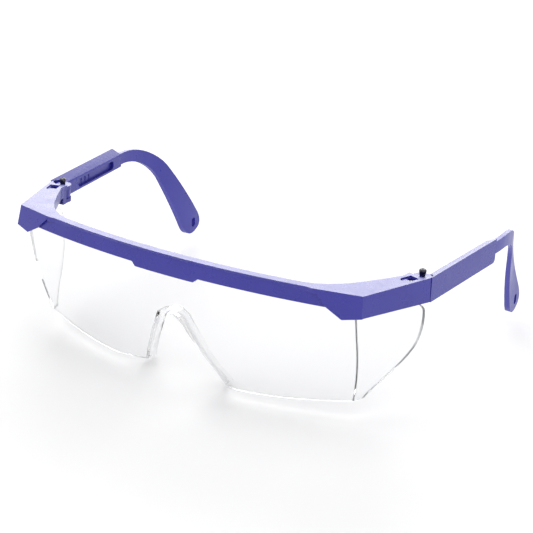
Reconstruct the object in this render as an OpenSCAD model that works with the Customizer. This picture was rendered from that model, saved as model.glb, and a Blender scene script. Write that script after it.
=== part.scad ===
// Safety glasses: one-piece clear wrap lens under a moulded brow frame, with two hinged
// temples whose ear pieces slide in and out of their sleeves.
// X runs across the face, -Y is the front, +Z is up. Millimetres.

/* [Brow frame] */
// Width between the two front corners
frame_w = 152; // [146:1:158]
// Radius of the brow's front edge, seen from above
brow_r = 305; // [290:5:330]
// Depth of the brow's top flange behind its front edge
brow_depth = 3.6; // [3.6:0.1:4.2]
// Height of the brow's face
brow_h = 6; // [5.6:0.1:6.2]
// Height of the brow's face over the nose
brow_nose_h = 7.5; // [7:0.1:7.8]
// How far the brow's face leans out at its lower edge
brow_flare = 1.1; // [0.8:0.1:1.4]
// Height of the side arms at the hinges
arm_h = 9.2; // [9:0.1:9.4]
// Height of the pods at the front corners
corner_h = 7.9; // [7.6:0.1:8.4]
// Thickness of the top plate
plate_t = 1.8; // [1.6:0.1:2]
// Thickness of the side arms' outer wall
arm_t = 1.9; // [1.6:0.1:2]

/* [Hinges] */
// Distance of each hinge axis from the middle
hinge_x = 82.6; // [82.4:0.1:82.8]
// Distance of the hinge axes behind the front corners
hinge_y = 33.4; // [33.2:0.1:33.6]
// Radius of the hinge ears
ear_r = 3.5; // [3.3:0.1:3.6]
// Radius of the sleeve's knuckle
knuckle_r = 3.2; // [3:0.1:3.3]
// Radius of the screw's shank
screw_r = 0.75; // [0.7:0.05:0.8]

/* [Lens] */
// Thickness of the lens
lens_t = 1.5; // [1.4:0.1:1.6]
// Depth of the lens's nose feet below the brow's top
lens_h = 53.4; // [52:0.2:54]
// How far the nose flange runs back over the bridge
flange_depth = 6.5; // [5:0.5:7]

/* [Temples] */
// Length of the sleeve behind the hinge axis
sleeve_l = 47.3; // [46:0.1:50]
// Height of the sleeve's outer wall
sleeve_h = 9.8; // [9.6:0.1:10]
// Height of the sleeve's inner wall
sleeve_inner_h = 5.8; // [5.6:0.1:6]
// Angle at which the temples spread, seen from above
temple_yaw = 5.66; // [5:0.1:6]
// Angle at which the temples rise towards the ear
temple_pitch = 2.8; // [2:0.1:3]
// Height of the sliding strip
strip_h = 5.2; // [5:0.1:5.3]
// Thickness of the sliding strip and ear piece
strip_t = 1.8; // [1.6:0.1:1.9]
// Angle of the ear piece below the strip
ear_drop = 59.6; // [55:0.2:62]
// Length of the ear piece below its bend
ear_l = 33; // [30:1:34]
// How far the left ear piece is pushed in beyond the right one
left_slide = 6; // [0:1:6]

/* [Hidden] */
blue = "royalblue";
eps = 0.01;
corner_x = frame_w / 2;

// the whole part stands on its lens, with its origin under the middle of its overall depth
stand_h = lens_h;
depth_mid = 65.4;

// brow arc: its centre, and the groove that the lens's top edge sits in
brow_c = [0, brow_r - (brow_r - sqrt(brow_r * brow_r - corner_x * corner_x))];
groove_out = brow_r - 1.25;
groove_in = groove_out - lens_t - 0.1;
groove_mid = (groove_in + groove_out) / 2;
lip_in = brow_r - brow_depth;
lip_h = plate_t + 1.6;
bead_h = 0.5;
bead_d = 0.25;
bar_half = asin(64 / brow_r);
groove_half = asin(74.2 / brow_r);
pod_flare = 0.9;
pod_seam_x = 58.2;
pod_proud = 0.7;

// side arms run back and outwards from the front corners
arm_end_y = 31.2;
arm_lean = 0.352;
bulkhead_y = 28.6;
rim_t = 1.2;
rim_h = 5;

// square snap hole in the plate, and the recess round it
snap_x = 81.5;
snap_y = 26.4;
snap_hole_w = 2.8;
recess_r = 2.1;
recess_d = 0.5;

// heights in the hinge, from the top of the brow downwards
ear_top = -1;
ear_low = -2.6;
knuckle_top = -2.8;
knuckle_low = -6.2;
lower_ear_top = -6.4;
lower_ear_low = -8;
ear_gap = 0.45;
head_r = 1.35;

// lens: radius of its plan curve, crease and outline at depth h below the brow's top
lens_r0 = groove_out - 0.05;
lens_y0 = brow_c[1] - lens_r0;
lens_top = plate_t + 0.02;
crease_x0 = 73.5;
crease_ease = 20;
rear_edge = [[1.8, 28.2], [9.6, 28.2], [11.8, 33.2], [14, 34.4], [18, 35], [22, 35], [26, 34.6],
             [29, 33.4], [32, 31.2], [36, 27.4], [40, 22.4], [44, 18], [46.6, 16.2]];

// the nose opening is a round arch on two straight legs, and the lens sweeps back towards its feet
nose_top = 24.6;
nose_arch_r = 6.3;
nose_slope = 2.05;
nose_join_x = nose_arch_r * nose_slope / sqrt(1 + nose_slope * nose_slope);
nose_join_h = nose_top + nose_arch_r - nose_join_x / nose_slope;
nose_foot_x = nose_join_x + (lens_h - nose_join_h) / nose_slope;
sweep_top = 26;
sweep_w = 13;
foot_w = 7;
edge_h = lens_h - 3.6;
edge_rise = 3.3;

// the lens hangs straight in the groove down to lean_top, then leans back and wraps more tightly
lean_top = 6;
lean = 0.115;
rows = 18;
nose_cols = 12;
foot_cols = 5;
face_cols = 7;
shield_cols = 8;

function below(h) = max(h - lean_top, 0);
function curve_k(h) = let (d = below(h)) 1 / lens_r0 + 0.0000235 * d + 0.0000011 * d * d;
function crease_x(h) = crease_x0 - 0.0048 * pow(max(h - crease_ease, 0), 2);
function arch_h(x) = x < nose_join_x
    ? nose_top + nose_arch_r - sqrt(nose_arch_r * nose_arch_r - x * x)
    : nose_join_h + nose_slope * (x - nose_join_x);
function arch_x(h) = h < nose_top ? 0 : h < nose_join_h
    ? sqrt(max(nose_arch_r * nose_arch_r - pow(nose_top + nose_arch_r - h, 2), 0))
    : nose_join_x + (h - nose_join_h) / nose_slope;
function bottom_h(x) = x < nose_foot_x ? arch_h(x)
    : x < nose_foot_x + foot_w ? edge_h + (lens_h - edge_h) * pow(1 - (x - nose_foot_x) / foot_w, 2)
    : edge_h - edge_rise * pow((x - nose_foot_x - foot_w) / (crease_x0 - nose_foot_x - foot_w), 2);
function nose_sweep(x, h) = let (s = max(h - sweep_top, 0), u = min(max((x - arch_x(h)) / sweep_w, 0), 1))
    (0.2 * s + 0.006 * s * s) * (1 - u) * (1 - u);
// columns beyond the feet draw in with the crease
function drawn_in(x, h) = let (x0 = nose_foot_x + foot_w)
    x - (crease_x0 - crease_x(h)) * max(x - x0, 0) / (crease_x0 - x0);
// a point of the lens face x off the middle, h down, t in from its outer surface
function face_pt(x, h, t) = let (r = 1 / curve_k(h), a = asin(x / r))
    [(r - t) * sin(a), lens_y0 + lean * below(h) + nose_sweep(x, h) + r - (r - t) * cos(a), -h];
// the crease, with its inner side mitred between face and side shield
function crease_pt(h, t) =
    let (x = crease_x(h), p = face_pt(x, h, 0), a = asin(x * curve_k(h)), b = atan(1 / arm_lean),
         n = [-sin(a) - sin(b), cos(a) + cos(b)], m = 1 + sin(a) * sin(b) + cos(a) * cos(b))
    [p[0] + t * n[0] / m, p[1] + t * n[1] / m, -h];
function shield_pt(q, h, t) =
    let (c = crease_pt(h, t), back = max(lookup(h, rear_edge) - c[1], 1) * q)
    [c[0] + back * arm_lean, c[1] + back, -h];

module place() { translate([0, -depth_mid, stand_h]) children(); }
module on_side(s) { mirror([s < 0 ? 1 : 0, 0, 0]) children(); }
module slab(top, low) { translate([0, 0, low]) linear_extrude(height = top - low) children(); }

// ---- brow frame ----

function face_r(z) = brow_r - bead_d + brow_flare * (-z - 2 * bead_h) / (brow_h - 2 * bead_h);

module brow_section() {
    polygon([[brow_r, 0], [brow_r, -bead_h], [brow_r - bead_d, -2 * bead_h],
             [face_r(-brow_h), -brow_h], [groove_mid, -brow_h], [groove_mid, -lip_h],
             [lip_in, -lip_h], [lip_in, 0]]);
}
module nose_section() {
    polygon([[face_r(-4), -4], [face_r(-brow_nose_h), -brow_nose_h],
             [groove_mid, -brow_nose_h], [groove_mid, -4]]);
}
module swept(half) {
    translate(brow_c) rotate([0, 0, -90 - half]) rotate_extrude(angle = 2 * half, $fn = 360) children();
}
module nose_step() {
    // trapezoid that leaves the slanted steps at both ends of the deeper face
    rotate([90, 0, 0]) linear_extrude(height = 14)
        polygon([[-15.2, -4], [-14.6, -brow_h], [-11.7, -8.5], [11.7, -8.5], [14.6, -brow_h], [15.2, -4]]);
}

// plan of the corner plate, right side
inner_a = [52, -1.6];
inner_b = [61, 2.9];
inner_c = [67.5, 9.6];
inner_d = [73, 18.2];
inner_e = [77.8, 26.6];
module corner_plan() {
    intersection() {
        translate(brow_c) circle(r = brow_r + pod_proud, $fn = 360);
        polygon([[46, -2.9], inner_a, [57, 0.2], inner_b, [64.5, 6], inner_c, inner_d, inner_e,
                 [78.4, arm_end_y], [corner_x + arm_lean * arm_end_y, arm_end_y], [corner_x, -0.3],
                 [pod_seam_x, -4.7], [56, -4.5], [46, -6]]);
    }
}
module ear_plan() {
    translate([hinge_x, hinge_y]) circle(r = ear_r, $fn = 64);
    polygon([[hinge_x - ear_r, hinge_y], [79, bulkhead_y + 0.5], [85.3, bulkhead_y + 0.5],
             [hinge_x + ear_r, hinge_y]]);
}
module arm_wall() {
    end_x = corner_x + arm_lean * arm_end_y;
    hull() {
        polyhedron(points = [[corner_x, -0.3, 0], [corner_x - arm_t, -0.3, 0],
                             [corner_x - arm_t, 1, -corner_h], [corner_x + pod_flare, -0.7, -corner_h],
                             [end_x, arm_end_y, 0], [end_x - arm_t, arm_end_y, 0],
                             [end_x - arm_t, arm_end_y, -arm_h], [end_x + 0.5, arm_end_y, -arm_h]],
                   faces = [[0, 1, 2, 3], [4, 7, 6, 5], [0, 4, 5, 1],
                            [1, 5, 6, 2], [2, 6, 7, 3], [3, 7, 4, 0]]);
    }
}
module pod_wall() {
    // slanted seam edge, deeper lower edge, and a face that leans out with the brow's
    face = [[pod_seam_x, -4.7, 0], [64.3, -4.4, -5.9], [70, -3.6, -arm_h],
            [corner_x + pod_flare, -1.5, -corner_h], [corner_x, -0.3, 0]];
    difference() {
        hull() polyhedron(points = concat(face, [for (p = face) p + [0, 3.4, 0]]),
            faces = [[4, 3, 2, 1, 0], [5, 6, 7, 8, 9], [0, 1, 6, 5], [1, 2, 7, 6], [2, 3, 8, 7],
                     [3, 4, 9, 8], [4, 0, 5, 9]]);
        translate([brow_c[0], brow_c[1], -20]) cylinder(r = groove_mid, h = 30, $fn = 360);
    }
}
module at_snap(z) { translate([snap_x, snap_y, z]) rotate([0, 0, -atan(arm_lean)]) children(); }
module snap_hole() {
    at_snap(-3) translate([-snap_hole_w / 2, -snap_hole_w / 2, 0]) cube([snap_hole_w, snap_hole_w, 4]);
    // shallow recess that runs forwards from the hole
    at_snap(-recess_d) {
        translate([-recess_r, -2.6, 0]) cube([2 * recess_r, 4.4, 1]);
        translate([0, -2.6, 0]) cylinder(r = recess_r, h = 1, $fn = 64);
    }
}
module corner() {
    difference() {
        union() {
            slab(0, -plate_t) corner_plan();
            arm_wall();
            pod_wall();
            // rim under the plate's inner edge
            slab(-plate_t / 2, -rim_h) difference() {
                intersection() {
                    corner_plan();
                    translate(brow_c) circle(r = lip_in + 0.3, $fn = 360);
                }
                translate([rim_t, -rim_t * 0.8]) corner_plan();
                translate([40, -20]) square([12, 30]);
                translate([60, bulkhead_y + 1]) square([40, 10]);
            }
            // bulkhead that carries the hinge ears
            slab(-0.6, lower_ear_low) polygon([[78.4, bulkhead_y], [85.2, bulkhead_y], [86.2, arm_end_y],
                                               [78.8, arm_end_y]]);
            slab(ear_top, ear_low) ear_plan();
            slab(lower_ear_top, lower_ear_low) ear_plan();
        }
        // room for the knuckle to turn
        translate([hinge_x, hinge_y, knuckle_low - 0.2])
            cylinder(r = knuckle_r + 0.3, h = knuckle_top - knuckle_low + 0.4, $fn = 64);
        translate([hinge_x, hinge_y, -arm_h - 1]) cylinder(r = screw_r + 0.05, h = arm_h + 2, $fn = 48);
        // the plate stops short of the screw's head
        translate([hinge_x, hinge_y, ear_top]) cylinder(r = ear_r + 0.3, h = 2, $fn = 64);
        snap_hole();
    }
}
// room in the pod's wall for the lens's crease
module crease_pocket() {
    clear = 0.12;
    in = 0.6;
    back = 3.95;
    c = [crease_pt(lens_top, 0)[0], crease_pt(lens_top, 0)[1]];
    polygon([c + [-in, 0.1], c + [0, -0.08], c + [clear, -0.05],
             c + [clear + back * arm_lean, back], c + [-in, back]]);
}
module brow_frame() {
    color(blue) place() difference() {
        union() {
            swept(bar_half) brow_section();
            intersection() {
                swept(4) nose_section();
                nose_step();
            }
            for (s = [-1, 1]) on_side(s) corner();
        }
        // groove that the lens's top edge sits in, and room for its creased corners
        swept(groove_half) polygon([[groove_in, -plate_t], [groove_out, -plate_t],
                                    [groove_out, -2 * arm_h], [groove_in, -2 * arm_h]]);
        for (s = [-1, 1]) on_side(s) slab(-plate_t, -2 * arm_h) crease_pocket();
    }
}

// ---- lens ----

function spaced(a, b, n) = [for (i = [0:n - 1]) a + (b - a) * i / n];
half_cols = concat([for (x = spaced(0, nose_foot_x, nose_cols)) ["face", x]],
                   [for (x = spaced(nose_foot_x, nose_foot_x + sweep_w, foot_cols)) ["face", x]],
                   [for (x = spaced(nose_foot_x + sweep_w, crease_x0, face_cols)) ["face", x]],
                   [["crease", 0]],
                   [for (i = [1:shield_cols]) ["shield", i / shield_cols]]);
n_half = len(half_cols);
cols = concat([for (i = [n_half - 1:-1:1]) [-1, half_cols[i]]], [for (c = half_cols) [1, c]]);

function col_bottom(c) = c[0] == "face" ? bottom_h(c[1]) : bottom_h(crease_x0);
function col_pt(c, h, t) = c[0] == "face" ? face_pt(drawn_in(c[1], h), h, t)
    : c[0] == "crease" ? crease_pt(h, t) : shield_pt(c[1], h, t);
function lens_pt(c, j, t) = let (h = lens_top + (col_bottom(c[1]) - lens_top) * j / rows,
                                 p = col_pt(c[1], h, t)) [c[0] * p[0], p[1], p[2]];

module lens_sheet() {
    n = len(cols);
    m = rows + 1;
    outer = [for (c = cols) for (j = [0:rows]) lens_pt(c, j, 0)];
    inner = [for (c = cols) for (j = [0:rows]) lens_pt(c, j, lens_t)];
    k = n * m;
    faces = concat(
        [for (i = [0:n - 2]) for (j = [0:rows - 1]) for (q = [0, 1]) let (a = i * m + j, b = a + m)
            q == 0 ? [a, b, b + 1] : [a, b + 1, a + 1]],
        [for (i = [0:n - 2]) for (j = [0:rows - 1]) for (q = [0, 1]) let (a = k + i * m + j, b = a + m)
            q == 0 ? [a, b + 1, b] : [a, a + 1, b + 1]],
        [for (i = [0:n - 2]) for (q = [0, 1]) let (a = i * m, b = a + m)
            q == 0 ? [a, k + a, k + b] : [a, k + b, b]],
        [for (i = [0:n - 2]) for (q = [0, 1]) let (a = i * m + rows, b = a + m)
            q == 0 ? [a, k + b, k + a] : [a, b, k + b]],
        [for (j = [0:rows - 1]) for (q = [0, 1]) q == 0 ? [j, j + 1, k + j + 1] : [j, k + j + 1, k + j]],
        [for (j = [0:rows - 1]) for (q = [0, 1]) let (a = (n - 1) * m + j)
            q == 0 ? [a, k + a + 1, a + 1] : [a, k + a, k + a + 1]]);
    polyhedron(points = concat(outer, inner), faces = faces);
}

// nose flange: a ribbon that follows the arch and runs back from the sheet
arch_n = 14;
flange_taper = 0.45;
arch_path = [for (i = [-arch_n:arch_n]) let (x = nose_foot_x * i / arch_n) [x, arch_h(abs(x))]];
function arch_normal(i) = let (a = arch_path[max(i - 1, 0)], b = arch_path[min(i + 1, 2 * arch_n)],
                               d = b - a) [d[1], -d[0]] / norm(d);
module nose_flange() {
    ring = [for (i = [0:2 * arch_n]) let (p = arch_path[i], q = p + arch_normal(i) * lens_t,
                                          y = face_pt(abs(p[0]), p[1], lens_t / 2)[1],
                                          taper = flange_taper * abs(i / arch_n - 1),
                                          rear = y + flange_depth * (1 - taper))
        each [[p[0], y, -p[1]], [p[0], rear, -p[1]], [q[0], rear, -q[1]], [q[0], y, -q[1]]]];
    last = 8 * arch_n;
    intersection() {
        polyhedron(points = ring, faces = concat([[0, 1, 2, 3], [last + 3, last + 2, last + 1, last]],
            [for (i = [0:2 * arch_n - 1]) for (e = [0:3]) for (q = [0, 1])
                let (a = 4 * i + e, b = 4 * i + (e + 1) % 4)
                q == 0 ? [a, a + 4, b + 4] : [a, b + 4, b]]));
        translate([-40, -20, -lens_h]) cube([80, 50, lens_h]);
    }
}
module lens() {
    color("white", 0.3) place() {
        lens_sheet();
        nose_flange();
        for (s = [-1, 1]) on_side(s) {
            // snap tab that reaches up into the frame's square hole
            at_snap(-plate_t - 1) translate([-0.2, -1, 0]) cube([1.1, 2, 1.9]);
        }
    }
}

// ---- temples, drawn along +Y from the hinge axis, x' outwards ----

sleeve_x0 = 0.35;
sleeve_x1 = 4.95;
sleeve_mid = -4.6;
strip_x = 2.65;
slide_gap = 0.15;
strip_start = 14;
channel_start = 7;
window_y0 = 12.5;
window_y1 = 41;
window_h = 3.8;

module on_temple() {
    translate([hinge_x, hinge_y, sleeve_mid]) rotate([0, 0, -temple_yaw]) rotate([temple_pitch, 0, 0])
        children();
}
module along_y(y0, y1) {
    // extrudes a 2D x-z section from y0 to y1
    translate([0, y1, 0]) rotate([90, 0, 0]) linear_extrude(height = y1 - y0) children();
}
module sleeve_section() {
    ho = sleeve_h / 2;
    hi = sleeve_inner_h / 2;
    polygon([[sleeve_x1, ho], [sleeve_x0 + 0.4, hi + 0.15], [sleeve_x0, hi - 0.3],
             [sleeve_x0, -hi + 0.3], [sleeve_x0 + 0.4, -hi - 0.15], [sleeve_x1, -ho]]);
}
module window() {
    r = 1.7;
    translate([sleeve_x0 - 1, 0, 0]) rotate([0, 90, 0]) linear_extrude(height = 2.4) {
        translate([-window_h / 2, window_y0 + r]) square([window_h, window_y1 - window_y0 - 2 * r]);
        translate([-window_h / 2 + r, window_y0]) square([window_h - 2 * r, window_y1 - window_y0]);
        for (y = [window_y0 + r, window_y1 - r]) for (x = [-1, 1])
            translate([x * (window_h / 2 - r), y]) circle(r = r, $fn = 48);
    }
}
module sleeve() {
    difference() {
        union() {
            difference() {
                on_temple() difference() {
                    along_y(-1.3, sleeve_l) sleeve_section();
                    // lower rear corner is rounded off
                    difference() {
                        translate([-1, sleeve_l - 1.6, -sleeve_h / 2 - 1]) cube([8, 3, 2.6]);
                        translate([-2, sleeve_l - 1.6, -sleeve_h / 2 + 1.6]) rotate([0, 90, 0])
                            cylinder(r = 1.6, h = 10, $fn = 48);
                    }
                    // channel for the sliding strip
                    translate([strip_x - strip_t / 2 - slide_gap, channel_start,
                               -strip_h / 2 - slide_gap])
                        cube([strip_t + 2 * slide_gap, sleeve_l, strip_h + 2 * slide_gap]);
                    window();
                }
                // clear of the frame's ears, above and below the knuckle
                translate([hinge_x, hinge_y, knuckle_top - eps])
                    cylinder(r = ear_r + ear_gap, h = 9, $fn = 64);
                translate([hinge_x, hinge_y, knuckle_low - 9 + eps])
                    cylinder(r = ear_r + ear_gap, h = 9, $fn = 64);
            }
            translate([hinge_x, hinge_y, knuckle_low])
                cylinder(r = knuckle_r, h = knuckle_top - knuckle_low, $fn = 64);
        }
        translate([hinge_x, hinge_y, -20]) cylinder(r = screw_r + 0.05, h = 30, $fn = 48);
    }
}

// ear piece: side outline and plan outline, both worked out along the strip
bend_start = 58;
bend_r = 27;
bend_end = [bend_start + bend_r * sin(ear_drop), -bend_r * (1 - cos(ear_drop))];
strip_end_w = 6.7;
paddle_w = 11.8;
drop_dir = [cos(ear_drop), -sin(ear_drop)];
drop_side = [sin(ear_drop), cos(ear_drop)];
function bend_pt(a, off) = [bend_start + (bend_r + off) * sin(a), -bend_r + (bend_r + off) * cos(a)];
function drop_pt(s, off) = bend_end + drop_dir * s + drop_side * off;
bend_steps = 10;
tip_steps = 8;
tip_w = 0.8;
tip_mid = 1.2;
tip_reach = 7;
// rounded tip: blunt on its outer side, fuller on its inner side
function tip_pt(a, s0, reach, side) =
    drop_pt(s0 + reach * pow(sin(a), tip_w),
            tip_mid + side * (paddle_w / 2 - side * tip_mid) * pow(cos(a), tip_w));
module ear_side() {
    bend_w = [for (i = [0:bend_steps]) strip_h + (strip_end_w - strip_h) * i / bend_steps];
    tip_s = ear_l - 0.6;
    polygon(concat(
        [[strip_start, -strip_h / 2], [strip_start, strip_h / 2], [bend_start, strip_h / 2]],
        [for (i = [1:bend_steps]) bend_pt(ear_drop * i / bend_steps, bend_w[i] / 2)],
        [for (i = [0:tip_steps]) tip_pt(90 * i / tip_steps, tip_s, tip_reach, 1)],
        [for (i = [tip_steps - 1:-1:0]) tip_pt(90 * i / tip_steps, tip_s, tip_reach, -1)],
        [for (i = [bend_steps:-1:1]) bend_pt(ear_drop * i / bend_steps, -bend_w[i] / 2)],
        [[bend_start, -strip_h / 2]]));
}
hook_r = 60;
hook_in = 27.5;
hook_out = 20;
hook_start = 51.5;
hook_steps = 9;
function hook_pt(i, off) = let (a = hook_in * i / hook_steps)
    [strip_x - hook_r + (hook_r + off) * cos(a), hook_start + (hook_r + off) * sin(a)];
function flare_pt(i, off) = let (a = hook_in - hook_out * i / hook_steps, p = hook_pt(hook_steps, 0),
                                 c = p + hook_r * [cos(hook_in), sin(hook_in)])
    [c[0] - (hook_r - off) * cos(a), c[1] - (hook_r - off) * sin(a)];
// the ear piece thickens from the strip's thickness towards its tip
function tail_t(i) = strip_t / 2 + 0.55 * i / hook_steps;
function tail_pt(off) = flare_pt(hook_steps, off)
    + 20 * [-sin(hook_in - hook_out), cos(hook_in - hook_out)];
module ear_plan_band() {
    t = strip_t / 2;
    polygon(concat([[strip_x + t, 0]], [for (i = [0:hook_steps]) hook_pt(i, t)],
                   [for (i = [1:hook_steps]) flare_pt(i, tail_t(i))],
                   [tail_pt(tail_t(hook_steps)), tail_pt(-tail_t(hook_steps))],
                   [for (i = [hook_steps:-1:1]) flare_pt(i, -tail_t(i))],
                   [for (i = [hook_steps:-1:0]) hook_pt(i, -t)], [[strip_x - t, 0]]));
}
slot_r = 1.35;
slot_half = 1;
module cord_slot() {
    c = drop_pt(ear_l + 1.6, 0.8);
    for (d = [-slot_half, slot_half])
        translate([-40, c[0], c[1] + d]) rotate([0, 90, 0]) cylinder(r = slot_r, h = 80, $fn = 48);
    translate([-40, c[0] - slot_r, c[1] - slot_half]) cube([80, 2 * slot_r, 2 * slot_half]);
}
module ear_piece(slide) {
    on_temple() translate([0, slide, 0]) {
        difference() {
            intersection() {
                translate([-40, 0, 0]) rotate([90, 0, 90]) linear_extrude(height = 80) ear_side();
                translate([0, 0, -80]) linear_extrude(height = 120) ear_plan_band();
            }
            cord_slot();
        }
        // detent ridges that show in the sleeve's window
        for (y = [20:3:29]) translate([strip_x - strip_t / 2, y, 0])
            cylinder(r = 0.4, h = 3, center = true, $fn = 24);
    }
}

// ---- hinge screws ----

module hinge_screw() {
    head_top = 1.7;
    head_low = 0.7;
    translate([hinge_x, hinge_y, 0]) difference() {
        rotate_extrude($fn = 48)
            polygon([[0, lower_ear_low], [screw_r, lower_ear_low], [screw_r, ear_top], [1, ear_top],
                     [head_r, head_low], [head_r, head_top - 0.4], [0.9, head_top], [0, head_top]]);
        for (a = [0, 90]) rotate([0, 0, 20 + a]) translate([-0.9, -0.2, head_top - 0.5])
            cube([1.8, 0.4, 1]);
    }
}

module left_sleeve() { color(blue) place() on_side(-1) sleeve(); }
module right_sleeve() { color(blue) place() on_side(1) sleeve(); }
module left_ear_piece() { color(blue) place() on_side(-1) ear_piece(-left_slide); }
module right_ear_piece() { color(blue) place() on_side(1) ear_piece(0); }
module left_hinge_screw() { color("dimgray") place() on_side(-1) hinge_screw(); }
module right_hinge_screw() { color("dimgray") place() on_side(1) hinge_screw(); }

brow_frame();
lens();
left_sleeve();
right_sleeve();
left_ear_piece();
right_ear_piece();
left_hinge_screw();
right_hinge_screw();
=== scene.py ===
"""Safety glasses: a clear wrap lens in a royal blue brow frame with folding, sliding temples."""
import math

import bpy
import bmesh
from mathutils import Matrix, Vector


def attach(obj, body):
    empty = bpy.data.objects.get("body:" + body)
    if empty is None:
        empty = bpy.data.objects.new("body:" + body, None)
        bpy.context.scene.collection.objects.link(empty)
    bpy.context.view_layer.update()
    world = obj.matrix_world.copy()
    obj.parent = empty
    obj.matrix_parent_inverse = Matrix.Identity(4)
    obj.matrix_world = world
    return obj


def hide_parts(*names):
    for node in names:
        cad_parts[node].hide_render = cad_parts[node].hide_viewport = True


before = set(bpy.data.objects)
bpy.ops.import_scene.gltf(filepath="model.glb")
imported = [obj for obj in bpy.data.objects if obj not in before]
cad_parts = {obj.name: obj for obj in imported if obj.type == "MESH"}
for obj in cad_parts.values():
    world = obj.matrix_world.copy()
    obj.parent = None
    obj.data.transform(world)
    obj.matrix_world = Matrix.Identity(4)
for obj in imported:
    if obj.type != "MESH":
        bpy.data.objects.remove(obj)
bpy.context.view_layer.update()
MM = 0.001

# ---------------------------------------------------------------- node helpers


def new_material(name):
    """An empty node material: returns (material, nodes, links, principled)."""
    mat = bpy.data.materials.new(name)
    mat.use_nodes = True
    nodes = mat.node_tree.nodes
    return mat, nodes, mat.node_tree.links, nodes["Principled BSDF"]


def noise(nodes, links, scale, detail=4.0, rough=0.5, stretch=(1, 1, 1)):
    """Noise in object coordinates, so it stays with the piece."""
    coord = nodes.new("ShaderNodeTexCoord")
    mapping = nodes.new("ShaderNodeMapping")
    mapping.inputs["Scale"].default_value = stretch
    tex = nodes.new("ShaderNodeTexNoise")
    tex.inputs["Scale"].default_value = scale
    tex.inputs["Detail"].default_value = detail
    tex.inputs["Roughness"].default_value = rough
    links.new(coord.outputs["Object"], mapping.inputs["Vector"])
    links.new(mapping.outputs["Vector"], tex.inputs["Vector"])
    return tex.outputs["Fac"]


def remap(nodes, links, value, low, high, from_low=0.3, from_high=0.7):
    node = nodes.new("ShaderNodeMapRange")
    node.inputs["From Min"].default_value = from_low
    node.inputs["From Max"].default_value = from_high
    node.inputs["To Min"].default_value = low
    node.inputs["To Max"].default_value = high
    links.new(value, node.inputs["Value"])
    return node.outputs["Result"]


def color_mix(nodes, links, value, dark, light):
    ramp = nodes.new("ShaderNodeValToRGB")
    ramp.color_ramp.elements[0].position = 0.3
    ramp.color_ramp.elements[0].color = (*dark, 1)
    ramp.color_ramp.elements[1].position = 0.7
    ramp.color_ramp.elements[1].color = (*light, 1)
    links.new(value, ramp.inputs["Fac"])
    return ramp.outputs["Color"]


def bump(nodes, links, height, strength, distance, chain=None):
    node = nodes.new("ShaderNodeBump")
    node.inputs["Strength"].default_value = strength
    node.inputs["Distance"].default_value = distance
    links.new(height, node.inputs["Height"])
    if chain is not None:
        links.new(chain, node.inputs["Normal"])
    return node.outputs["Normal"]


# ---------------------------------------------------------------- materials


def moulded_plastic(name, dark, light, rough_low, rough_high):
    """Glossy injection-moulded nylon: slow colour drift, fine mould grain, soft flow waves."""
    mat, nodes, links, bsdf = new_material(name)
    drift = noise(nodes, links, 38, 3)
    links.new(color_mix(nodes, links, drift, dark, light), bsdf.inputs["Base Color"])
    smudge = noise(nodes, links, 160, 5, 0.6)
    links.new(remap(nodes, links, smudge, rough_low, rough_high), bsdf.inputs["Roughness"])
    grain = noise(nodes, links, 5200, 2)
    wave = noise(nodes, links, 210, 2, 0.4, (1, 0.5, 1))
    fine = bump(nodes, links, grain, 0.06, 0.00004)
    links.new(bump(nodes, links, wave, 0.05, 0.0004, fine), bsdf.inputs["Normal"])
    bsdf.inputs["IOR"].default_value = 1.53
    bsdf.inputs["Subsurface Weight"].default_value = 0.05
    bsdf.inputs["Subsurface Radius"].default_value = (0.0005, 0.0005, 0.002)
    bsdf.inputs["Subsurface Scale"].default_value = 0.6
    return mat


# the lens points' "edge" value is 1 where the sheet is cut or creased; painted shade shows there
# from the threshold below upward: a paler haze with less transmission that stands in for the grey
# lines light draws along edges and creases as it bends through them
FROST_FROM = 0.84
EDGE_SHADE_UNEVEN = 0.06
EDGE_SHADE_CLARITY = 0.45
FLANGE_EDGE = 0.6


def clear_lens():
    """Polished polycarbonate: clear, with painted shade along its cut edges and its creases, a
    paler haze with less transmission standing in for the grey lines light bending through them
    gives.
    """
    mat, nodes, links, bsdf = new_material("clear_lens")
    wipe = noise(nodes, links, 90, 5, 0.6, (1, 1, 0.25))
    links.new(remap(nodes, links, wipe, 0.01, 0.045), bsdf.inputs["Roughness"])
    edge = nodes.new("ShaderNodeAttribute")
    edge.attribute_name = "edge"
    uneven = noise(nodes, links, 160, 3)
    spread = nodes.new("ShaderNodeMath")
    spread.operation = "MULTIPLY_ADD"
    spread.inputs[1].default_value = EDGE_SHADE_UNEVEN
    links.new(uneven, spread.inputs[0])
    links.new(edge.outputs["Fac"], spread.inputs[2])
    # painted shade: marked edges and creases turn paler and hazier, with less transmission, in
    # place of the grey lines refraction gives there
    edge_shade = remap(nodes, links, spread.outputs[0], 0.0, 1.0, FROST_FROM, 1.0)
    links.new(color_mix(nodes, links, edge_shade, (0.945, 0.947, 0.95), (0.93, 0.94, 0.96)),
              bsdf.inputs["Base Color"])
    clarity = remap(nodes, links, edge_shade, 1.0, EDGE_SHADE_CLARITY, 0.0, 1.0)
    links.new(clarity, bsdf.inputs["Transmission Weight"])
    ripple = noise(nodes, links, 60, 2)
    links.new(bump(nodes, links, ripple, 0.02, 0.0002), bsdf.inputs["Normal"])
    bsdf.inputs["IOR"].default_value = 1.45
    return mat


def screw_steel():
    """Dark plated steel with turning marks and rubbed spots."""
    mat, nodes, links, bsdf = new_material("screw_steel")
    rub = noise(nodes, links, 900, 4, 0.6)
    links.new(color_mix(nodes, links, rub, (0.04, 0.04, 0.05), (0.13, 0.13, 0.14)),
              bsdf.inputs["Base Color"])
    links.new(remap(nodes, links, rub, 0.22, 0.42), bsdf.inputs["Roughness"])
    turned = noise(nodes, links, 2500, 2, 0.5, (1, 1, 6))
    links.new(bump(nodes, links, turned, 0.15, 0.00005), bsdf.inputs["Normal"])
    bsdf.inputs["Metallic"].default_value = 1.0
    return mat


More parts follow.
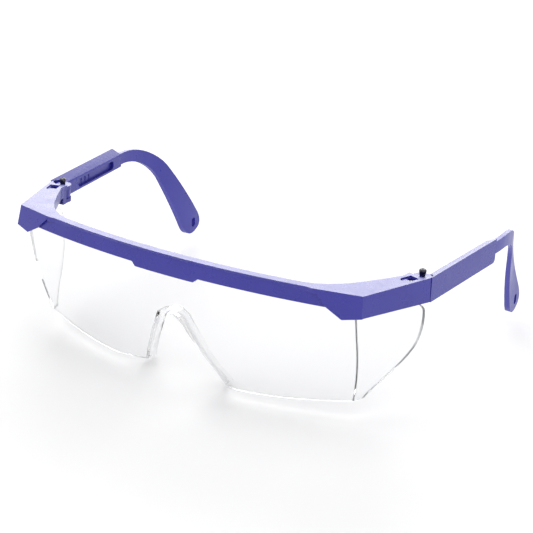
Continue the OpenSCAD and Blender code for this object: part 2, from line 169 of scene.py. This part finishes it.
FRAME_BLUE = moulded_plastic("frame_plastic", (0.030, 0.028, 0.300), (0.038, 0.036, 0.335),
                             0.22, 0.34)
EAR_BLUE = moulded_plastic("ear_plastic", (0.034, 0.032, 0.320), (0.044, 0.042, 0.360),
                           0.26, 0.38)
LENS_CLEAR = clear_lens()
STEEL = screw_steel()

# ---------------------------------------------------------------- carried-over CAD pieces


def finish_piece(obj, mat, width, smooth=35.0):
    """Gives a piece its material and small rounded edges, by modifiers only."""
    obj.data.materials.clear()
    obj.data.materials.append(mat)
    for poly in obj.data.polygons:
        poly.use_smooth = True
    weld = obj.modifiers.new("weld", "WELD")
    weld.merge_threshold = 0.000002
    bevel = obj.modifiers.new("edges", "BEVEL")
    bevel.width = width
    bevel.segments = 3
    bevel.limit_method = "ANGLE"
    bevel.angle_limit = math.radians(smooth)
    bevel.harden_normals = False
    bevel.use_clamp_overlap = True
    shade = obj.modifiers.new("shade", "WEIGHTED_NORMAL")
    shade.mode = "FACE_AREA_WITH_ANGLE"
    shade.weight = 60


finish_piece(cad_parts["brow_frame"], FRAME_BLUE, 0.25 * MM)
for side in ("left", "right"):
    finish_piece(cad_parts[side + "_sleeve"], FRAME_BLUE, 0.3 * MM)
    finish_piece(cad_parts[side + "_ear_piece"], EAR_BLUE, 0.3 * MM)
    finish_piece(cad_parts[side + "_hinge_screw"], STEEL, 0.06 * MM)


# ---------------------------------------------------------------- lens

# heights are measured down from the brow's top plane, as the frame measures them
TOP_Z = 0.0534
MID_Y = -0.0654
FRONT_CORNER = 76.0
BROW_R = 305.0
LENS_R = BROW_R - 1.30
LENS_T = 1.5
LENS_H = 53.4
ROWS = 48
NOSE_COLS = 46
FOOT_COLS = 16
FACE_COLS = 22
SHIELD_COLS = 24
LENS_TOP = 1.82
LEAN_TOP = 6.0
LEAN = 0.115
CURVE_1 = 0.0000235
CURVE_2 = 0.0000011
CENTRE_Y = math.sqrt(BROW_R ** 2 - FRONT_CORNER ** 2)
CREASE_X = 73.5
CREASE_TURN_H = 20.0
CREASE_TURN = 0.0048
ARM_LEAN = 0.352
FLANGE = 6.5
FLANGE_TAPER = 0.45
REAR_EDGE = ((1.82, 28.2), (9.6, 28.2), (11.8, 33.2), (14, 34.4), (18, 35), (22, 35), (26, 34.6),
             (29, 33.4), (32, 31.2), (36, 27.4), (40, 22.4), (44, 18), (46.6, 16.2))

# nose opening: a round arch on two straight legs
ARCH_TOP = 24.6
ARCH_R = 6.3
LEG_SLOPE = 2.05
JOIN_X = ARCH_R * LEG_SLOPE / math.sqrt(1 + LEG_SLOPE ** 2)
JOIN_H = ARCH_TOP + ARCH_R - JOIN_X / LEG_SLOPE
FOOT_X = JOIN_X + (LENS_H - JOIN_H) / LEG_SLOPE
FOOT_W = 7.0
SWEEP_W = 13.0
EDGE_H = LENS_H - 3.6
EDGE_RISE = 3.3
SWEEP_TOP = 26.0
SWEEP_1 = 0.2
SWEEP_2 = 0.006
CORNER_BLEND = 0.25

# snap tabs: where they stand, how far out of that line, and their size
TAB_X = 81.5
TAB_Y = 26.4
TAB_SHIFT = 0.35
TAB_SIZE = (1.1, 2.0, 0.9)


def below(h):
    """Depth below the line where the lens starts to lean back."""
    return max(h - LEAN_TOP, 0.0)


def curve(h):
    """Curvature of the face at depth h: it tightens downwards."""
    d = below(h)
    return 1 / LENS_R + CURVE_1 * d + CURVE_2 * d * d


def crease_x(h):
    """Where the side shield's crease lies at depth h."""
    return CREASE_X - CREASE_TURN * max(h - CREASE_TURN_H, 0.0) ** 2


def arch(x):
    """Depth of the nose arch at x, carried on past its foot."""
    if x < JOIN_X:
        return ARCH_TOP + ARCH_R - math.sqrt(ARCH_R ** 2 - x * x)
    return JOIN_H + LEG_SLOPE * (x - JOIN_X)


def arch_x(h):
    """Half width of the nose opening at depth h."""
    if h < ARCH_TOP:
        return 0.0
    if h < JOIN_H:
        return math.sqrt(max(ARCH_R ** 2 - (ARCH_TOP + ARCH_R - h) ** 2, 0.0))
    return JOIN_X + (h - JOIN_H) / LEG_SLOPE


def lower_edge(x):
    """Depth of the lens's lower edge beyond the nose."""
    edge = x - FOOT_X - FOOT_W
    if edge < 0:
        return EDGE_H + (LENS_H - EDGE_H) * min(-edge / FOOT_W, 1.0) ** 2
    return EDGE_H - EDGE_RISE * (edge / (CREASE_X - FOOT_X - FOOT_W)) ** 2


def nose_sweep(x, h):
    """How far the sheet sweeps back beside the nose opening."""
    s = max(h - SWEEP_TOP, 0.0)
    u = min(max((x - arch_x(h)) / SWEEP_W, 0.0), 1.0)
    return (SWEEP_1 * s + SWEEP_2 * s * s) * (1 - u) ** 2


def drawn_in(x, h):
    """Columns beyond the feet draw in with the crease."""
    start = FOOT_X + FOOT_W
    return x - (CREASE_X - crease_x(h)) * max(x - start, 0.0) / (CREASE_X - start)


def arch_lift(x):
    """How far up the flange's outer side lies above the arch, at x."""
    step = 0.05
    slope = (arch(x + step) - arch(max(x - step, 0))) / (step + min(x, step))
    return LENS_T * math.sqrt(1 + slope * slope)


def smooth_rear(h):
    """The side shield's rear edge, eased through its chosen points."""
    total = weight = 0.0
    for k in range(-3, 4):
        g = min(max(h + k * 0.7, REAR_EDGE[0][0]), REAR_EDGE[-1][0])
        for (h0, y0), (h1, y1) in zip(REAR_EDGE, REAR_EDGE[1:]):
            if h0 <= g <= h1:
                w = 1.0 - abs(k) / 4.0
                total += w * (y0 + (y1 - y0) * (g - h0) / (h1 - h0))
                weight += w
                break
    return total / weight


def face_point(x, h, t):
    """Plan position on the face, x off the middle, h down and t in from its outer surface."""
    r = 1 / curve(h)
    a = math.asin(x / r)
    y0 = CENTRE_Y - LENS_R + LEAN * below(h) + nose_sweep(x, h)
    return (r - t) * math.sin(a), y0 + r - (r - t) * math.cos(a)


def crease_point(h, t):
    """Plan position of the crease, mitred through the sheet's thickness."""
    x = crease_x(h)
    cx, cy = face_point(x, h, 0)
    a = math.asin(x * curve(h))
    b = math.atan(1 / ARM_LEAN)
    m = 1 + math.sin(a) * math.sin(b) + math.cos(a) * math.cos(b)
    return cx - t * (math.sin(a) + math.sin(b)) / m, cy + t * (math.cos(a) + math.cos(b)) / m


def shield_point(q, h, t):
    """Plan position on the side shield, q from 0 at the crease to 1 at the rear edge."""
    cx, cy = crease_point(h, t)
    back = max(smooth_rear(h) - cy, 1.0) * q
    return cx + back * ARM_LEAN, cy + back


def soft_min(a, b, k):
    """Minimum of a and b, rounded off over about k."""
    return min(a, b) - k * math.log1p(math.exp(-abs(a - b) / k))


def flange_end():
    """Where the flange's outer side runs out into the lower edge."""
    low, high = FOOT_X, FOOT_X + 4
    for _ in range(40):
        mid = (low + high) / 2
        if arch(mid) - arch_lift(mid) < lower_edge(mid):
            low = mid
        else:
            high = mid
    return low


def build_lens():
    """One closed mesh: face, creased side shields, nose arch and its two flanges."""
    end_x = flange_end()
    nose = [end_x * i / NOSE_COLS for i in range(NOSE_COLS + 1)]
    foot = [end_x + (SWEEP_W + FOOT_X - end_x) * i / FOOT_COLS for i in range(1, FOOT_COLS + 1)]
    face = [foot[-1] + (CREASE_X - foot[-1]) * i / FACE_COLS for i in range(1, FACE_COLS)]
    shield = [i / SHIELD_COLS for i in range(1, SHIELD_COLS + 1)]
    half = [("face", x) for x in nose + foot + face] + [("crease", 0)]
    half += [("shield", q) for q in shield]
    cols = [(-1, c) for c in reversed(half[1:])] + [(1, c) for c in half]
    mid = len(half) - 1

    def depth(col, inner):
        kind, x = col
        if kind != "face":
            return lower_edge(CREASE_X)
        low = lower_edge(x)
        if x > end_x - 1e-6:
            return low
        return min(low, arch(x) - arch_lift(x)) if inner else soft_min(low, arch(x), CORNER_BLEND)

    def point(side, col, h, t, back=0.0):
        kind, x = col
        if kind == "face":
            px, py = face_point(drawn_in(x, h), h, t)
        elif kind == "crease":
            px, py = crease_point(h, t)
        else:
            px, py = shield_point(x, h, t)
        return Vector((side * px * MM, (py + back) * MM + MID_Y, TOP_Z - h * MM))

    bm = bmesh.new()
    edge = bm.verts.layers.float.new("edge")
    sheets = []
    for t in (0.0, LENS_T):
        sheet = []
        for side, col in cols:
            low = depth(col, t > 0)
            sheet.append([bm.verts.new(point(side, col, LENS_TOP + (low - LENS_TOP) * j / ROWS, t))
                          for j in range(ROWS + 1)])
        sheets.append(sheet)
    outer, inner = sheets
    n = len(cols)

    def quad(*verts):
        kept = list(dict.fromkeys(verts))
        if len(kept) > 2:
            bm.faces.new(kept)

    for i in range(n - 1):
        for j in range(ROWS):
            quad(outer[i][j], outer[i + 1][j], outer[i + 1][j + 1], outer[i][j + 1])
            quad(inner[i][j], inner[i][j + 1], inner[i + 1][j + 1], inner[i + 1][j])
        quad(outer[i][0], inner[i][0], inner[i + 1][0], outer[i + 1][0])
    for j in range(ROWS):
        quad(outer[0][j], outer[0][j + 1], inner[0][j + 1], inner[0][j])
        quad(outer[-1][j], inner[-1][j], inner[-1][j + 1], outer[-1][j + 1])

    # rim: plain beyond the flanges, and run back over the arch
    first, last = mid - NOSE_COLS, mid + NOSE_COLS
    back_out, back_in = {}, {}
    for i in range(first, last + 1):
        side, col = cols[i]
        start = point(side, col, depth(col, False), LENS_T / 2)
        run = FLANGE * (1 - FLANGE_TAPER * abs(i - mid) / NOSE_COLS)
        rear = Vector((0, run * MM, 0))
        back_out[i] = bm.verts.new(start + rear)
        if i in (first, last):
            back_in[i] = back_out[i]
        else:
            back_in[i] = bm.verts.new(point(side, col, depth(col, True), LENS_T / 2) + rear)
    for i in range(n - 1):
        a, b = outer[i][-1], outer[i + 1][-1]
        c, d = inner[i + 1][-1], inner[i][-1]
        if first <= i < last:
            quad(a, b, back_out[i + 1], back_out[i])
            quad(back_out[i], back_out[i + 1], back_in[i + 1], back_in[i])
            quad(back_in[i], back_in[i + 1], c, d)
        else:
            quad(a, b, c, d)
    quad(outer[first][-1], back_out[first], inner[first][-1])
    quad(outer[last][-1], inner[last][-1], back_out[last])
    bmesh.ops.recalc_face_normals(bm, faces=bm.faces)

    # where the sheet is cut, creased or moulded to an edge, marked for the lens material's painted
    # edge shade
    for i, (_, (kind, _)) in enumerate(cols):
        for sheet in sheets:
            for j, vert in enumerate(sheet[i]):
                if j == ROWS or i in (0, n - 1) or kind == "crease":
                    vert[edge] = 1.0
    # the flanges' back rims get a weaker mark, so the painted edge shade fades across the flanges
    for vert in list(back_out.values()) + list(back_in.values()):
        vert[edge] = FLANGE_EDGE

    # snap tabs that stand up into the frame's square holes
    for side in (-1, 1):
        turn = Matrix.Rotation(-side * math.atan(ARM_LEAN), 4, "Z")
        spot = Vector((side * TAB_X * MM, TAB_Y * MM + MID_Y,
                       TOP_Z - LENS_TOP * MM + TAB_SIZE[2] / 2 * MM))
        size = Matrix.Diagonal((*(edge_mm * MM for edge_mm in TAB_SIZE), 1))
        shift = Matrix.Translation((side * TAB_SHIFT * MM, 0, 0))
        bmesh.ops.create_cube(bm, size=1.0, matrix=Matrix.Translation(spot) @ turn @ shift @ size)

    mesh = bpy.data.meshes.new("clear_lens")
    bm.to_mesh(mesh)
    bm.free()
    obj = bpy.data.objects.new("clear_lens", mesh)
    bpy.context.scene.collection.objects.link(obj)
    finish_piece(obj, LENS_CLEAR, 0.25 * MM, 38.0)
    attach(obj, "front")
    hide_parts("lens")
    return obj


build_lens()

# ---------------------------------------------------------------- stage, light and camera


FLOOR_SIZE = 12.0
FLOOR_Z = -0.0006


def plane(name, size, location, mat):
    bpy.ops.mesh.primitive_plane_add(size=size, location=location)
    obj = bpy.context.object
    obj.name = name
    obj.data.materials.append(mat)
    return obj


def paper():
    """Matt white backdrop paper with faint flecks."""
    mat, nodes, links, bsdf = new_material("backdrop_paper")
    fleck = noise(nodes, links, 14, 4)
    links.new(color_mix(nodes, links, fleck, (0.94, 0.94, 0.94), (0.96, 0.96, 0.96)),
              bsdf.inputs["Base Color"])
    bsdf.inputs["Roughness"].default_value = 0.9
    return mat


plane("floor", FLOOR_SIZE, (0, 0, FLOOR_Z), paper())

world = bpy.data.worlds.new("studio")
bpy.context.scene.world = world
world.use_nodes = True
world.node_tree.nodes["Background"].inputs["Color"].default_value = (1, 1, 1, 1)
world.node_tree.nodes["Background"].inputs["Strength"].default_value = 0.88


def area_light(name, location, target, size, power):
    data = bpy.data.lights.new(name, "AREA")
    data.size = size
    data.energy = power
    obj = bpy.data.objects.new(name, data)
    obj.location = location
    obj.rotation_euler = (Vector(target) - Vector(location)).to_track_quat("-Z", "Y").to_euler()
    bpy.context.scene.collection.objects.link(obj)


# a weak light overhead, and a broad one behind that the upper faces mirror
area_light("overhead", (-0.2, -0.3, 1.5), (0, 0, 0.03), 1.6, 4)
area_light("behind", (-0.75, 1.25, 0.62), (0, 0, 0.04), 1.1, 13)

# plain colour response, so that the blues keep their depth
bpy.context.scene.view_settings.view_transform = "Standard"

# camera: azimuth and elevation round the object, its roll, and where it stands
CAM_AZ, CAM_EL, CAM_ROLL = math.radians(30.0), math.radians(20.84), math.radians(3.38)
CAM_AT = Vector((260.0, -451.6, 224.6)) * MM
SENSOR = 36.0
LENS_MM = 90.8


def camera():
    back = Vector((math.sin(CAM_AZ) * math.cos(CAM_EL), -math.cos(CAM_AZ) * math.cos(CAM_EL),
                   math.sin(CAM_EL)))
    right = Vector((math.cos(CAM_AZ), math.sin(CAM_AZ), 0))
    up = back.cross(right)
    right2 = right * math.cos(CAM_ROLL) + up * math.sin(CAM_ROLL)
    up2 = up * math.cos(CAM_ROLL) - right * math.sin(CAM_ROLL)
    data = bpy.data.cameras.new("camera")
    data.sensor_width = SENSOR
    data.lens = LENS_MM
    data.clip_start = 0.01
    obj = bpy.data.objects.new("camera", data)
    obj.matrix_world = Matrix((
        (right2.x, up2.x, back.x, CAM_AT.x), (right2.y, up2.y, back.y, CAM_AT.y),
        (right2.z, up2.z, back.z, CAM_AT.z), (0, 0, 0, 1)))
    bpy.context.scene.collection.objects.link(obj)
    bpy.context.scene.camera = obj


camera()
